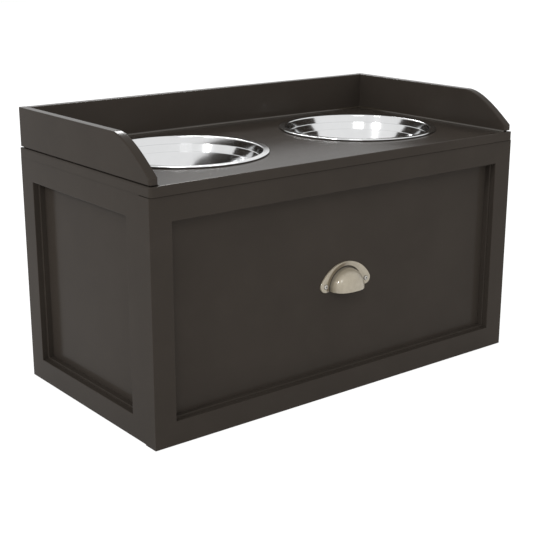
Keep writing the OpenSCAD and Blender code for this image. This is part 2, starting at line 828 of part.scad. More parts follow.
// Bowls. The inner face runs from the rim over the lip, down two banded steps
// and the plain wall to the curve and the flat bottom. The outer face is the
// same line moved outwards and down by the thickness of the sheet.
module bowl() {
    z0 = bowl_rim_z;
    floor_in = z0 - bowl_depth;
    step_fall = bowl_ledge * 0.4;
    lip = [for (a = [90:15:180])
           [bowl_mouth_r + bowl_lip_r, z0 - bowl_lip_r] + bowl_lip_r * [cos(a), sin(a)]];
    bands = [for (i = [1, 2]) let (r = bowl_mouth_r - i * bowl_lean - (i - 1) * bowl_ledge)
             each [[r, z0 - i * bowl_band_h], [r - bowl_ledge, z0 - i * bowl_band_h - step_fall]]];
    turn = [for (a = [0:-9:-90])
            [bowl_floor_r, floor_in + bowl_fillet] + bowl_fillet * [cos(a), sin(a)]];
    inner = concat([[bowl_rim_r - bead_r, z0]], lip, bands, turn, [[0, floor_in]]);
    outer = [for (i = [len(inner) - 2:-1:1]) inner[i] + bowl_sheet * [1, -1]];
    rotate_extrude($fn = 128) {
        polygon(concat(inner, [[0, floor_in - bowl_sheet]], outer,
                       [[bowl_rim_r - bead_r, z0 - bowl_sheet]]));
        translate([bowl_rim_r - bead_r, bowl_seat + bead_r]) circle(bead_r);
    }
}

module bowl_at(s) {
    placed() translate([s * bowl_pitch / 2, depth / 2, top_z]) bowl();
}

module left_bowl() { color([0.84, 0.85, 0.86]) bowl_at(-1); }

module right_bowl() { color([0.84, 0.85, 0.86]) bowl_at(1); }

top_board();
gallery_back_rail();
gallery_left_wing();
gallery_right_wing();
gallery_screws();
left_front_stile();
left_rear_stile();
left_top_rail();
left_bottom_rail();
left_panel();
right_front_stile();
right_rear_stile();
right_top_rail();
right_bottom_rail();
right_panel();
back_panel();
back_screws();
floor_panel();
front_stretcher();
rear_stretcher();
carcass_dowels();
board_screws();
left_runner_channel();
right_runner_channel();
glide_strips();
channel_screws();
bumpers();
front_left_stile();
front_right_stile();
front_top_rail();
front_bottom_rail();
front_panel();
box_left_side();
box_right_side();
box_front();
box_back();
box_bottom();
box_screws();
front_screws();
left_runner_slide();
right_runner_slide();
slide_screws();
cup_pull();
pull_screws();
left_bowl();
right_bowl();
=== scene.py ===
import math

import bmesh
import bpy
import numpy as np
from mathutils import Euler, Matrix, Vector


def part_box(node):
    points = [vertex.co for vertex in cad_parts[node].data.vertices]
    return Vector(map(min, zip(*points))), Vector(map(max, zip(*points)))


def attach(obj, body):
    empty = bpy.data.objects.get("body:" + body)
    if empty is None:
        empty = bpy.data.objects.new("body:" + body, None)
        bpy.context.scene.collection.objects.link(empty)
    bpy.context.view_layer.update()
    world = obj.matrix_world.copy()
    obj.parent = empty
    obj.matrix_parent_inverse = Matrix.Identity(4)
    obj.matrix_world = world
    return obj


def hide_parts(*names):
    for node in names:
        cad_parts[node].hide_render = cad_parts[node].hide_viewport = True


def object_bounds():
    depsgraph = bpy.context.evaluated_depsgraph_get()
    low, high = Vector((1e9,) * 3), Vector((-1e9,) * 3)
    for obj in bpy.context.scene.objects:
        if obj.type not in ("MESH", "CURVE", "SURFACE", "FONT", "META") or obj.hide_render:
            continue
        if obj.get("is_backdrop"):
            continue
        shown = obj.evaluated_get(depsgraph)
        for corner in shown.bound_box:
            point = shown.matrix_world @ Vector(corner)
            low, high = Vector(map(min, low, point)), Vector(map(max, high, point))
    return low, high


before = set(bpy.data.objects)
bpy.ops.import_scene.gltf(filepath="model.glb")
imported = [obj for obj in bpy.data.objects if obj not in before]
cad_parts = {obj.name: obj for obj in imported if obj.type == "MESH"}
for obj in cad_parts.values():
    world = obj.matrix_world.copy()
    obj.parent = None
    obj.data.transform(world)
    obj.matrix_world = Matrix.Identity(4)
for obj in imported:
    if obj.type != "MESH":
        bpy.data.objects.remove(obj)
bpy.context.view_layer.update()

# Camera: a long lens at a standing person's distance, turned 38 degrees to the
# right of the drawer's normal and tipped 16 degrees down.
camera_data = bpy.data.cameras.new("camera")
camera_data.lens = 77.5
camera_data.sensor_width = 36
camera = bpy.data.objects.new("camera", camera_data)
camera.location = (-0.9539, -1.1986, 0.5857)
camera.rotation_euler = Euler((math.radians(90 - 16.32), 0, math.radians(-38.03)))
bpy.context.scene.collection.objects.link(camera)
bpy.context.scene.camera = camera


# Frames of the sides and of the drawer front: stiles and rails of fibreboard,
# grooved for the centre panel, stepped by a small ledge and sprayed with a dark
# satin paint, so that the joints between them don't show.
class Wire:
    """An output socket in a material's node tree; arithmetic on it adds Math nodes."""

    def __init__(self, tree, socket=None):
        self.tree, self.socket = tree, socket

    def node(self, kind, settings=None, sockets=None, out=0):
        """New node of a kind: its settings first, then values or wires by socket name or number."""
        made = self.tree.nodes.new(kind)
        for key, value in (settings or {}).items():
            setattr(made, key, value)
        for key, value in (sockets or {}).items():
            if isinstance(value, Wire):
                self.tree.links.new(value.socket, made.inputs[key])
            elif isinstance(value, tuple) and len(value) == 3 and made.inputs[key].type == "RGBA":
                made.inputs[key].default_value = (*value, 1)
            else:
                made.inputs[key].default_value = value
        return Wire(self.tree, made.outputs[out] if len(made.outputs) else None)

    def math(self, operation, *values):
        """A Math node's result for numbers or wires; self only says which tree."""
        return self.node("ShaderNodeMath", {"operation": operation}, dict(enumerate(values)))

    def __add__(self, other):
        return self.math("ADD", self, other)

    def __radd__(self, other):
        return self.math("ADD", other, self)

    def __sub__(self, other):
        return self.math("SUBTRACT", self, other)

    def __rsub__(self, other):
        return self.math("SUBTRACT", other, self)

    def __mul__(self, other):
        return self.math("MULTIPLY", self, other)

    def __rmul__(self, other):
        return self.math("MULTIPLY", other, self)

    def __pow__(self, other):
        return self.math("POWER", self, other)

    def absolute(self):
        return self.math("ABSOLUTE", self)

    def larger(self, other):
        return self.math("MAXIMUM", self, other)

    def ramp(self, low, high, to_low=0.0, to_high=1.0):
        """The value carried from low..high to to_low..to_high and held at both ends."""
        return self.node("ShaderNodeMapRange", {"clamp": True},
                         {0: self, 1: low, 2: high, 3: to_low, 4: to_high})

    def mix(self, first, second):
        """Colour between first and second by this value."""
        return self.node("ShaderNodeMix", {"data_type": "RGBA", "clamp_factor": True},
                         {0: self, 6: first, 7: second}, out=2)

    def noise(self, place, scale, detail=2.0, rough=0.5):
        """Soft random value from 0 to 1 over a place, scale waves to the metre."""
        return self.node("ShaderNodeTexNoise", {"noise_dimensions": "3D"},
                         {"Vector": place, "Scale": scale, "Detail": detail, "Roughness": rough})

    def bump(self, height, distance, strength=1.0, under=None):
        """Normal tilted by a height; under is another bump beneath it."""
        sockets = {"Height": height, "Distance": distance, "Strength": strength}
        if under is not None:
            sockets["Normal"] = under
        return self.node("ShaderNodeBump", None, sockets)


def new_material(name):
    """Empty node material and a wire on its tree with the object's own coordinates."""
    made = bpy.data.materials.new(name)
    made.use_nodes = True
    made.node_tree.nodes.clear()
    place = Wire(made.node_tree).node("ShaderNodeTexCoord", out="Object")
    return made, place


def shade(place, **sockets):
    """Closes a material with one surface shader; underscores in names stand for spaces."""
    named = {key.replace("_", " "): value for key, value in sockets.items()}
    surface = place.node("ShaderNodeBsdfPrincipled", None, named)
    place.node("ShaderNodeOutputMaterial", None, {"Surface": surface})


def satin_paint(name, base, rough, shine=0.04):
    """Sprayed satin paint: a fine orange peel over faint cloudy unevenness, with
    a little more gloss where it pooled and a few dull rubbed patches. Shine is
    how strongly it mirrors when seen straight on."""
    made, place = new_material(name)
    cloud = place.noise(place, 9.0, 3.0, 0.55)
    rubbed = place.noise(place, 34.0, 5.0, 0.6).ramp(0.52, 0.74)
    peel = place.noise(place, 620.0, 2.0, 0.45)
    fleck = place.noise(place, 2400.0, 2.0, 0.6)
    tone = cloud.ramp(0.3, 0.7).mix(tuple(0.94 * c for c in base), tuple(1.06 * c for c in base))
    tone = (rubbed * 0.16).mix(tone, tuple(1.35 * c for c in base))
    tone = (fleck.ramp(0.6, 0.78) * 0.12).mix(tone, tuple(1.7 * c for c in base))
    gloss = rough + 0.02 * cloud - 0.01 + rubbed * 0.03 + 0.02 * fleck
    skin = place.bump(peel, 0.00002, 0.4, place.bump(cloud, 0.0002, 0.3))
    shade(place, Base_Color=tone, Roughness=gloss, Specular_IOR_Level=shine, Normal=skin)
    return made


paint = satin_paint("satin_paint", (0.0435, 0.0362, 0.0300), 0.17)


def put_mesh(name, points, faces, material, body, replaced=(), crease=38):
    """New piece from points and faces: doubles merged, faces turned outwards,
    edges sharper than crease degrees kept sharp and flat faces kept flat."""
    mesh = bpy.data.meshes.new(name)
    mesh.from_pydata(np.asarray(points, float).reshape(-1, 3).tolist(), [], faces)
    work = bmesh.new()
    work.from_mesh(mesh)
    bmesh.ops.remove_doubles(work, verts=work.verts, dist=2e-6)
    bmesh.ops.dissolve_degenerate(work, edges=work.edges, dist=1e-6)
    bmesh.ops.recalc_face_normals(work, faces=work.faces)
    work.to_mesh(mesh)
    work.free()
    mesh.shade_smooth()
    mesh.set_sharp_from_angle(angle=math.radians(crease))
    mesh.materials.append(material)
    piece = bpy.data.objects.new(name, mesh)
    bpy.context.scene.collection.objects.link(piece)
    even = piece.modifiers.new("flat_faces", "WEIGHTED_NORMAL")
    even.mode, even.weight, even.keep_sharp = "FACE_AREA", 100, True
    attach(piece, body)
    if replaced:
        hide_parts(*replaced)
    return piece


def stack(loops, caps=True):
    """Points and faces of a tube through loops, an array (station, point, 3):
    four-sided faces between neighbouring loops and one face over each end."""
    rows, n = loops.shape[:2]
    row = np.arange(rows - 1)[:, None] * n
    here = np.arange(n)[None, :]
    after = (here + 1) % n
    quads = np.stack([row + here, row + after, row + n + after, row + n + here], -1)
    faces = quads.reshape(-1, 4).tolist()
    if caps:
        faces += [list(range(n))[::-1], list(range((rows - 1) * n, rows * n))]
    return loops.reshape(-1, 3), faces


def arc(centre, radius, start, end, steps=6):
    """Points at even angles in degrees on a circle round centre."""
    turn = np.radians(np.linspace(start, end, steps + 1))
    return np.stack([centre[0] + radius * np.cos(turn), centre[1] + radius * np.sin(turn)], 1)


def ease(t, length, radius):
    """Drop of a rounded edge at distance t from either end of a length: a
    quarter circle of the given radius, and nothing between the two."""
    near = np.clip(radius - np.minimum(t, length - t), 0, radius)
    return radius - np.sqrt(np.maximum(radius ** 2 - near ** 2, 0))


MM = 0.001  # sizes below are in millimetres, those of the scene in metres
side_x, rear_y, side_w, side_h = 298, 159, 288.8, 304
front_x, front_y, front_low, front_h = 300, -153, 1, 302.5
member_w, frame_t, recess_d = 30, 22, 15
ledge_d, ledge_w, outer_r, inner_r, ledge_r = 7.5, 3, 0.6, 0.7, 0.6
groove_d, groove_low, groove_high = 7, 16.5, 20.5
back_notch, back_low = (8.0, 6), 8


def member_section(stepped, notched=False):
    """Section of a stile or rail: across from its outer edge, and depth behind
    its face. Rounded at the outer edge; where stepped, also at the inner edge
    and the ledge; elsewhere these corners fall together on the plain inner edge.
    Notched, its back corner is cut away for the edge of the back panel."""
    r_in, r_ledge, step = (inner_r, ledge_r, ledge_w) if stepped else (0, 0, 0)
    w, (notch_w, notch_t) = member_w, (back_notch if notched else (0, 0))
    return np.concatenate([
        [[notch_t, frame_t], [notch_t, frame_t - notch_w], [0, frame_t - notch_w]],
        arc((outer_r, outer_r), outer_r, 180, 270),
        arc((w - r_in, r_in), r_in, 270, 360), [[w, ledge_d]],
        arc((w + step - r_ledge, ledge_d + r_ledge), r_ledge, 270, 360),
        [[w + step, recess_d], [w, recess_d], [w, groove_low], [w - groove_d, groove_low],
         [w - groove_d, groove_high], [w, groove_high], [w, frame_t]]])


def stile_loops(height, notch_from=None):
    """Stile from one end of the frame to the other: (across, depth, along), the
    inner edge stepped between the rails, the face eased over at the ends, and
    the back panel's notch from a height upwards where one is given."""
    ends = outer_r * (1 - np.cos(np.radians(np.linspace(0, 90, 7))))
    plain = np.concatenate([ends, [member_w]])
    rows = [(t, False) for t in plain] + [(member_w, True)]
    rows += [(height - t, stepped) for t, stepped in rows[::-1]]
    rows = [(t, stepped, notch_from is not None and t >= notch_from) for t, stepped in rows]
    if notch_from is not None:
        low = sum(t < notch_from for t, stepped, notched in rows)
        rows[low:low] = [(notch_from, False, False), (notch_from, False, True)]
    loops = []
    for t, stepped, notched in rows:
        section = member_section(stepped, notched)
        depth = np.maximum(section[:, 1], ease(np.array(t), height, outer_r))
        loops.append(np.stack([section[:, 0], depth, np.full(len(section), t)], 1))
    return np.array(loops)


def rail_loops(width):
    """Rail between the stiles: (across, depth, along), its ledge held back by
    the width of the stiles' ledges."""
    rows = [(member_w, False), (member_w + ledge_w, False), (member_w + ledge_w, True)]
    rows += [(width - t, stepped) for t, stepped in rows[::-1]]
    loops = []
    for t, stepped in rows:
        section = member_section(True)
        if not stepped:
            section[:, 0] = np.minimum(section[:, 0], member_w)
        loops.append(np.stack([section[:, 0], section[:, 1], np.full(len(section), t)], 1))
    return np.array(loops)


def framed_panel(prefix, width, height, stand, body):
    """Four members of a frame; stand turns (across, up, depth) into the part's
    axes. A side's frame has a rear and a front stile, the rear one notched."""
    rail = rail_loops(width)
    for end in (("left", "right") if prefix == "front" else ("rear", "front")):
        stile = stile_loops(height, back_low if end == "rear" else None)
        across, depth, up = stile[..., 0], stile[..., 1], stile[..., 2]
        if end in ("right", "front"):
            across = width - across
        points, faces = stack(stand(across, up, depth))
        put_mesh(f"{prefix}_{end}_stile_painted", points, faces, paint, body,
                 [f"{prefix}_{end}_stile"])
    across, depth, along = rail[..., 0], rail[..., 1], rail[..., 2]
    for end, up in (("bottom", across), ("top", height - across)):
        points, faces = stack(stand(along, up, depth))
        put_mesh(f"{prefix}_{end}_rail_painted", points, faces, paint, body,
                 [f"{prefix}_{end}_rail"])


framed_panel("left", side_w, side_h,
             lambda u, v, d: np.stack([-side_x + d, rear_y - u, v], -1) * MM, "cabinet")
framed_panel("right", side_w, side_h,
             lambda u, v, d: np.stack([side_x - d, rear_y - u, v], -1) * MM, "cabinet")
framed_panel("front", 2 * front_x, front_h,
             lambda u, v, d: np.stack([-front_x + u, front_y + d, front_low + v], -1) * MM,
             "drawer")


# Centre panels, back, floor, stretchers and top board: fibreboard in the same
# paint. The panels sit in the frames' grooves, the back in the rear stiles'
# notches, and the board is screwed to the stretchers. They keep their shapes.
def dress(material, *names):
    """Gives carried-over nodes a material."""
    for name in names:
        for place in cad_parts[name].material_slots:
            place.material = material


dress(paint, "left_panel", "right_panel", "front_panel", "back_panel", "floor_panel",
      "front_stretcher", "rear_stretcher", "top_board", "box_bottom")


# Gallery: two wings and a back rail, 12 mm boards with softened edges, screwed
# up through the top board. A rebate along the outer foot leaves a dark shadow
# line there. A wing's front end falls in one long curve to a blunt nose.
gallery_low, gallery_high, gallery_t, rebate_h, rebate_d = 316.0, 368.0, 12.0, 1.8, 3.8
wing_front, wing_rear, wing_slope, wing_nose = -152.5, 159.0, 79.0, 8.5
inner_x, inner_y = side_x - gallery_t, wing_rear - gallery_t


def wing_outline():
    """Side view of a wing, (y, z) from its lower rear corner round to its lower
    front corner, with a cubic curve between shoulder and nose."""
    shoulder = np.array([wing_front + wing_slope, gallery_high])
    nose = np.array([wing_front, gallery_low + wing_nose])
    drop = gallery_high - gallery_low - wing_nose
    guide = np.array([shoulder, shoulder - [0.3 * wing_slope, 0],
                      nose + [0.33 * wing_slope, 0.5 * drop], nose])
    t = np.linspace(0, 1, 49)[:, None]
    curve = ((1 - t) ** 3 * guide[0] + 3 * t * (1 - t) ** 2 * guide[1]
             + 3 * t ** 2 * (1 - t) * guide[2] + t ** 3 * guide[3])
    level = np.stack([np.linspace(wing_rear, shoulder[0], 20, endpoint=False),
                      np.full(20, gallery_high)], 1)
    foot = np.array([[rebate_d, 0], [rebate_d, rebate_h], [0, rebate_h]])
    rear, front = foot * [-1, 1] + [wing_rear, gallery_low], foot + [wing_front, gallery_low]
    return np.concatenate([rear, level, curve, front[::-1]])


def wing_loops(top_r=1.6, end_r=3.5):
    """Outline of the wing repeated through its thickness, from its outer face
    in: drawn in by quarter circles at both faces, top_r along the top and end_r
    in plan at the two ends, with its foot lifted as far as the rebate goes. The
    three foot points at each end aren't drawn in, and the rear top corner only
    moves down."""
    flat = wing_outline()
    tangent = np.gradient(flat, axis=0)
    tangent /= np.linalg.norm(tangent, axis=1)[:, None]
    inward = np.stack([-tangent[:, 1], tangent[:, 0]], 1)
    inward[[0, 1, 2, -3, -2, -1]] = 0
    inward[3] = [0, -1]
    quarter = 1 - np.cos(np.radians(np.linspace(0, 90, 9)))
    t = np.concatenate([end_r * quarter, gallery_t - end_r * quarter[::-1]])
    t = np.unique(np.concatenate([t, top_r * quarter, gallery_t - top_r * quarter]).round(4))
    inside = t > rebate_d
    rows = [(s, rebate_h) for s in [*t[~inside], rebate_d]]
    rows += [(s, 0) for s in [rebate_d, *t[inside]]]
    loops = []
    for s, lift in rows:
        top, end = ease(np.array(s), gallery_t, top_r), ease(np.array(s), gallery_t, end_r)
        loop = flat + inward * top
        loop[[0, -1], 1] += lift
        loop[:, 0] = np.clip(loop[:, 0], wing_front + end, wing_rear - end)
        loops.append(np.insert(loop, 0, s, axis=1))
    return np.array(loops)


for side, name in ((-1, "left"), (1, "right")):
    loops = wing_loops()
    loops[..., 0] = side * (side_x - loops[..., 0])
    points, faces = stack(loops * MM)
    put_mesh(f"{name}_wing_painted", points, faces, paint, "cabinet",
             [f"gallery_{name}_wing"])


def back_rail_loops(r=1.4):
    """Section of the back rail, (y, z), at its two ends against the wings: its
    upper edges rounded by r and the rebate cut into its outer foot."""
    y0, y1, z0, z1 = inner_y, wing_rear, gallery_low, gallery_high
    section = np.concatenate([
        [[y0, z0], [y1 - rebate_d, z0], [y1 - rebate_d, z0 + rebate_h], [y1, z0 + rebate_h]],
        arc((y1 - r, z1 - r), r, 0, 90), arc((y0 + r, z1 - r), r, 90, 180)])
    return np.array([np.insert(section, 0, x, axis=1) for x in (-inner_x, inner_x)])


points, faces = stack(back_rail_loops() * MM)
put_mesh("back_rail_painted", points, faces, paint, "cabinet",
         ["gallery_back_rail"])


# Bead of filler that closes the inner foot of the gallery under the paint: a
# small hollow fillet smoothed by finger along both wings and the back rail.
def fillet_loops(r=2.4, steps=8):
    """Hollow quarter circle carried along the inner foot of the gallery, from
    one wing's nose round the back to the other's, mitred at the two corners. It
    reaches 0.4 mm into the boards, so that no gap shows."""
    turn = np.radians(np.linspace(180, 270, steps + 1))
    hollow = np.stack([r + r * np.cos(turn), r + r * np.sin(turn)], 1)
    section = np.concatenate([[[-0.4, -0.4]], [[-0.4, r]], hollow, [[r, -0.4]]])
    inset, up = section[:, 0], section[:, 1]
    nose = wing_front + 2
    corners = [(-inner_x, nose, 1, 0), (-inner_x, inner_y, 1, -1), (inner_x, inner_y, -1, -1),
               (inner_x, nose, -1, 0)]
    return np.array([np.stack([x + dx * inset, y + dy * inset, gallery_low + up], 1)
                     for x, y, dx, dy in corners])


points, faces = stack(fillet_loops() * MM)
bead = satin_paint("bead_paint", (0.044, 0.036, 0.027), 0.16, 0.6)
put_mesh("gallery_fillet", points, faces, bead, "cabinet")


# Bowls: spun stainless steel with a flat rolled rim and a wall stepped by two
# ledges between leaning bands. Each drops into its hole and hangs on the rim.
def rounded(corners, radii, steps=6):
    """Polyline with each inner corner replaced by an arc of its radius, tangent
    to both neighbours."""
    corners = np.asarray(corners, float)
    out = [corners[:1]]
    for k in range(1, len(corners) - 1):
        a, b, c = corners[k - 1:k + 2]
        into, away = (b - a) / np.linalg.norm(b - a), (c - b) / np.linalg.norm(c - b)
        turn = math.atan2(into[0] * away[1] - into[1] * away[0], float(into @ away))
        if radii[k] < 1e-6 or abs(turn) < 1e-6:
            out.append(b[None])
            continue
        side = math.copysign(1, turn)
        reach = radii[k] * math.tan(abs(turn) / 2)
        start = b - into * reach
        centre = start + side * radii[k] * np.array([-into[1], into[0]])
        spoke = start - centre
        angles = np.linspace(0, turn, max(2, int(steps * abs(turn) / 1.5) + 2))
        out.append(np.stack([centre[0] + spoke[0] * np.cos(angles) - spoke[1] * np.sin(angles),
                             centre[1] + spoke[0] * np.sin(angles) + spoke[1] * np.cos(angles)], 1))
    return np.concatenate(out + [corners[-1:]])


bowl_x, bowl_y = 150.0, 3.0
rim_r, rim_bead, mouth_r, rim_top, bowl_depth = 111.5, 1.1, 102.0, 318.4, 66.0
band_h, sheet, ledge_fall = 10.0, 1.0, 0.25
first_lean, first_step, second_lean, second_step = 2.3, 1.2, 3.1, 0.7
floor_edge, floor_turn = 86.0, 14.0
bowl_turns = [0, 2.0, 0.3, 0.4, 0.25, 0.35, 6, floor_turn, 0]


def bowl_profile():
    """Closed section of a bowl as (radius, height): in over the rim, down the two
    bands and the wall, across the floor, back a sheet's thickness outside, and
    round the rolled rim."""
    first = mouth_r - first_lean
    second = first - first_step - second_lean
    corners = [(rim_r - rim_bead, 0), (mouth_r, 0), (first, -band_h),
               (first - first_step, -band_h - ledge_fall), (second, -2 * band_h),
               (second - second_step, -2 * band_h - ledge_fall),
               (floor_edge, -bowl_depth + floor_turn), (floor_edge, -bowl_depth), (0, -bowl_depth)]
    face = rounded(corners, bowl_turns, 8)
    tangent = np.gradient(face, axis=0)
    tangent /= np.linalg.norm(tangent, axis=1)[:, None]
    back = face + sheet * np.stack([-tangent[:, 1], tangent[:, 0]], 1)
    back[-1] = face[-1] - [0, sheet]
    rolled = arc((rim_r - rim_bead, -rim_bead), rim_bead, -90, 90, 10)
    return np.concatenate([face, back[::-1], rolled])


def spin(profile, centre, steps):
    """Closed profile turned once round an upright axis: (radius cos a, radius
    sin a, height) over even angles a."""
    turn = np.radians(np.arange(steps) * 360 / steps)
    r, z = profile[:, 0], profile[:, 1]
    return np.stack([centre[0] + np.cos(turn)[:, None] * r, centre[1] + np.sin(turn)[:, None] * r,
                     np.broadcast_to(z, (steps, len(z)))], -1)


def ring(loops, closed=True):
    """Points and faces of a surface closed round its first index and, where
    closed, along its second too."""
    rows, n = loops.shape[:2]
    here = np.arange(rows)[:, None] * n
    after = (np.arange(rows)[:, None] + 1) % rows * n
    j = np.arange(n if closed else n - 1)[None, :]
    k = (j + 1) % n
    quads = np.stack([here + j, here + k, after + k, after + j], -1)
    return loops.reshape(-1, 3), quads.reshape(-1, 4).tolist()


def stainless():
    """Bright spun steel: fine rings left by polishing round each bowl's axis,
    faint haze and a few hairline scratches."""
    made, place = new_material("spun_stainless")
    parts = {n: place.node("ShaderNodeSeparateXYZ", None, {0: place}, out=i)
             for i, n in enumerate("xyz")}
    across = parts["x"].absolute() - bowl_x * MM
    along = parts["y"] - bowl_y * MM
    radius = (across * across + along * along) ** 0.5
    rings = place.node("ShaderNodeTexNoise", {"noise_dimensions": "1D"},
                       {"W": radius + parts["z"] * 0.8, "Scale": 1900.0, "Detail": 3.0})
    haze = place.noise(place, 26.0, 4.0, 0.6)
    scratch = place.node("ShaderNodeTexNoise", {"noise_dimensions": "3D"},
                         {"Vector": place, "Scale": 210.0, "Detail": 5.0, "Distortion": 3.0})
    line = 1 - (scratch - 0.5).absolute().ramp(0.0, 0.006)
    tone = haze.ramp(0.3, 0.7).mix((0.70, 0.705, 0.71), (0.74, 0.745, 0.75))
    gloss = 0.085 + haze * 0.02 + rings * 0.02 + line * 0.03
    skin = place.bump(rings, 0.000001, 0.3)
    shade(place, Base_Color=tone, Metallic=1.0, Roughness=gloss, Normal=skin)
    return made


steel = stainless()
for side, name in ((-1, "left_bowl"), (1, "right_bowl")):
    loops = spin(bowl_profile(), (side * bowl_x, bowl_y), 160)
    loops[..., 2] += rim_top
    points, faces = ring(loops * MM)
    put_mesh(f"{name}_steel", points, faces, steel, name, [name], crease=50)


# Cup pull: a cast pewter half cup on an arched plate, with a groove round the
# foot of the cup, held to the drawer front by two round-head screws.
pull_x, pull_low, pull_face = 5.0, 139.25, -138.0
pitch, end_r, arch_rise, plate_t = 69.0, 8.0, 28.0, 2.4
cup_r, cup_reach, cup_wall, fullness, groove_r = 26.0, 21.0, 2.0, 2.5, 1.2
cup_lift, dish, dish_w = 2.0, 1.0, 6.5


def plate_reach(turn):
    """Distance from the middle of the mouth to the plate's outline at an angle:
    the farthest crossing with the big arch or with the circle of an end."""
    half = pitch / 2
    arch_r = (half ** 2 + (arch_rise - end_r) ** 2) / (2 * (arch_rise - end_r)) + end_r
    arch_y = end_r + arch_rise - arch_r
    across, up = np.cos(turn), np.sin(turn)

    def crossing(x, y, r):
        """Far crossing of a ray from the origin with a circle round (x, y): m plus
        the root of m^2 - (x^2 + y^2 - r^2), where m is (x, y) along the ray."""
        middle = across * x + up * y
        square = middle ** 2 - (x ** 2 + y ** 2 - r ** 2)
        return np.where(square > -1e-6, middle + np.sqrt(np.maximum(square, 0)), 0)

    big = crossing(0.0, arch_y, arch_r)
    bearing = np.arctan2(big * up - arch_y, big * across)
    spread = math.atan2(end_r - arch_y, half)
    arch = np.where((bearing > spread) & (bearing < math.pi - spread), big, 0)
    ends = np.maximum(crossing(half, end_r, end_r), crossing(-half, end_r, end_r))
    return np.maximum(arch, ends)


def foot_reach(turn, radius):
    """Distance from the middle of the mouth, at an angle, to a circle of the
    given radius whose middle lies cup_lift above it."""
    return cup_lift * np.sin(turn) + np.sqrt(radius ** 2 - (cup_lift * np.cos(turn)) ** 2)


def dome(turn, radius, low, high):
    """Cup surface in one direction, crown first, as (distance, height): with r
    the share of the foot radius, height is (1 - r^n)^(1/n) of the way up."""
    share = np.cos(np.radians(np.linspace(90, 0, 36))) ** (2 / fullness)
    away = share * foot_reach(turn, radius)
    r = np.hypot(away * np.cos(turn), away * np.sin(turn) - cup_lift) / radius
    up = np.maximum(1 - r ** fullness, 0) ** (1 / fullness)
    return np.stack([away, low + (high - low) * up], 1)


def pull_loops(steps=181):
    """Half cup and plate as one closed section turned through half a circle:
    over the cup, through the groove, out over the plate to its rounded rim,
    under the plate and up the inside of the cup."""
    trough = arc((cup_r + groove_r, plate_t - dish), groove_r, 180, 360, 10)
    edge = 0.9
    lip = arc((-edge, plate_t - edge), edge, 90, 0, 5)
    loops = []
    for angle in np.linspace(0, math.pi, steps):
        reach = plate_reach(angle)
        start = foot_reach(angle, cup_r + 2 * groove_r)
        over = np.linspace(start, reach - edge, 16)[:-1]
        dip = dish * (1 + np.cos(np.pi * np.clip((over - start) / dish_w, 0, 1))) / 2
        section = np.concatenate([
            dome(angle, cup_r, plate_t - dish, cup_reach),
            np.stack([foot_reach(angle, trough[:-1, 0]), trough[:-1, 1]], 1),
            np.stack([over, plate_t - dip], 1), lip + [reach, 0], [[reach, 0]],
            dome(angle, cup_r - cup_wall, 0, cup_reach - cup_wall)[::-1]])
        loops.append(np.stack([section[:, 0] * math.cos(angle), section[:, 0] * math.sin(angle),
                               section[:, 1]], 1))
    flat = np.array(loops)
    return np.stack([pull_x + flat[..., 0], pull_face - flat[..., 2], pull_low + flat[..., 1]], -1)


def pewter():
    """Aged pewter under clear lacquer: cloudy warm grey with a fine cast grain,
    dark grime and painted shade across the groove round the cup's foot and round
    the screws' heads, and on the plate a painted brown shade and reflection of the
    cup from the foot outwards, most towards the left."""
    made, place = new_material("aged_pewter")
    grain = place.noise(place, 900.0, 4.0, 0.6)
    patch = place.noise(place, 120.0, 4.0, 0.6)
    across, up = (place.node("ShaderNodeSeparateXYZ", None, {0: place}, out=i) for i in (0, 2))

    def ring_of_grime_and_shade(x, z, radius, inner, outer):
        """1 up to inner off a circle round (x, z), falling to 0 at outer off it."""
        away = ((across - x * MM) ** 2 + (up - z * MM) ** 2) ** 0.5 - radius * MM
        return 1 - away.absolute().ramp(inner * MM, outer * MM)

    # Painted shade with dark grime: the colour darkens across the groove round the cup's foot and
    # in a thin ring round each screw head.
    grime_and_shade = ring_of_grime_and_shade(pull_x, pull_low + cup_lift, cup_r + groove_r, 0.7, 1.6)
    for side in (-1, 1):
        x = pull_x + side * pitch / 2
        grime_and_shade = grime_and_shade.larger(ring_of_grime_and_shade(x, pull_low + end_r, 3.0, 0.1, 0.8))
    foot = ((across - pull_x * MM) ** 2 + (up - (pull_low + cup_lift) * MM) ** 2) ** 0.5
    # Painted shade and reflection of the cup: a brown band on the plate from the cup's foot
    # outwards, strongest towards the left.
    cup_shade = foot.ramp(cup_r * MM, (cup_r + 1) * MM)
    cup_shade = cup_shade * foot.ramp((cup_r + 6) * MM, (cup_r + 8) * MM, 1, 0)
    cup_shade = cup_shade * (across - pull_x * MM).ramp(-4 * MM, 10 * MM, 1, 0)
    tone = patch.ramp(0.35, 0.7).mix((0.36, 0.315, 0.235), (0.42, 0.37, 0.28))
    tone = (cup_shade * 0.8).mix(tone, (0.13, 0.095, 0.055))
    tone = (grain.ramp(0.55, 0.75) * 0.3).mix(tone, (0.26, 0.22, 0.16))
    tone = (grime_and_shade * 0.9).mix(tone, (0.022, 0.017, 0.011))
    skin = place.bump(grain, 0.00003, 0.5)
    shade(place, Base_Color=tone, Metallic=0.3, Roughness=0.5 + grain * 0.12 + grime_and_shade * 0.2,
          Coat_Weight=1.0 - grime_and_shade * 0.9, Coat_Roughness=0.05, Normal=skin)
    return made


cast = pewter()
points, faces = stack(pull_loops() * MM)
put_mesh("cup_pull_cast", points, faces, cast, "drawer", ["cup_pull"], crease=45)


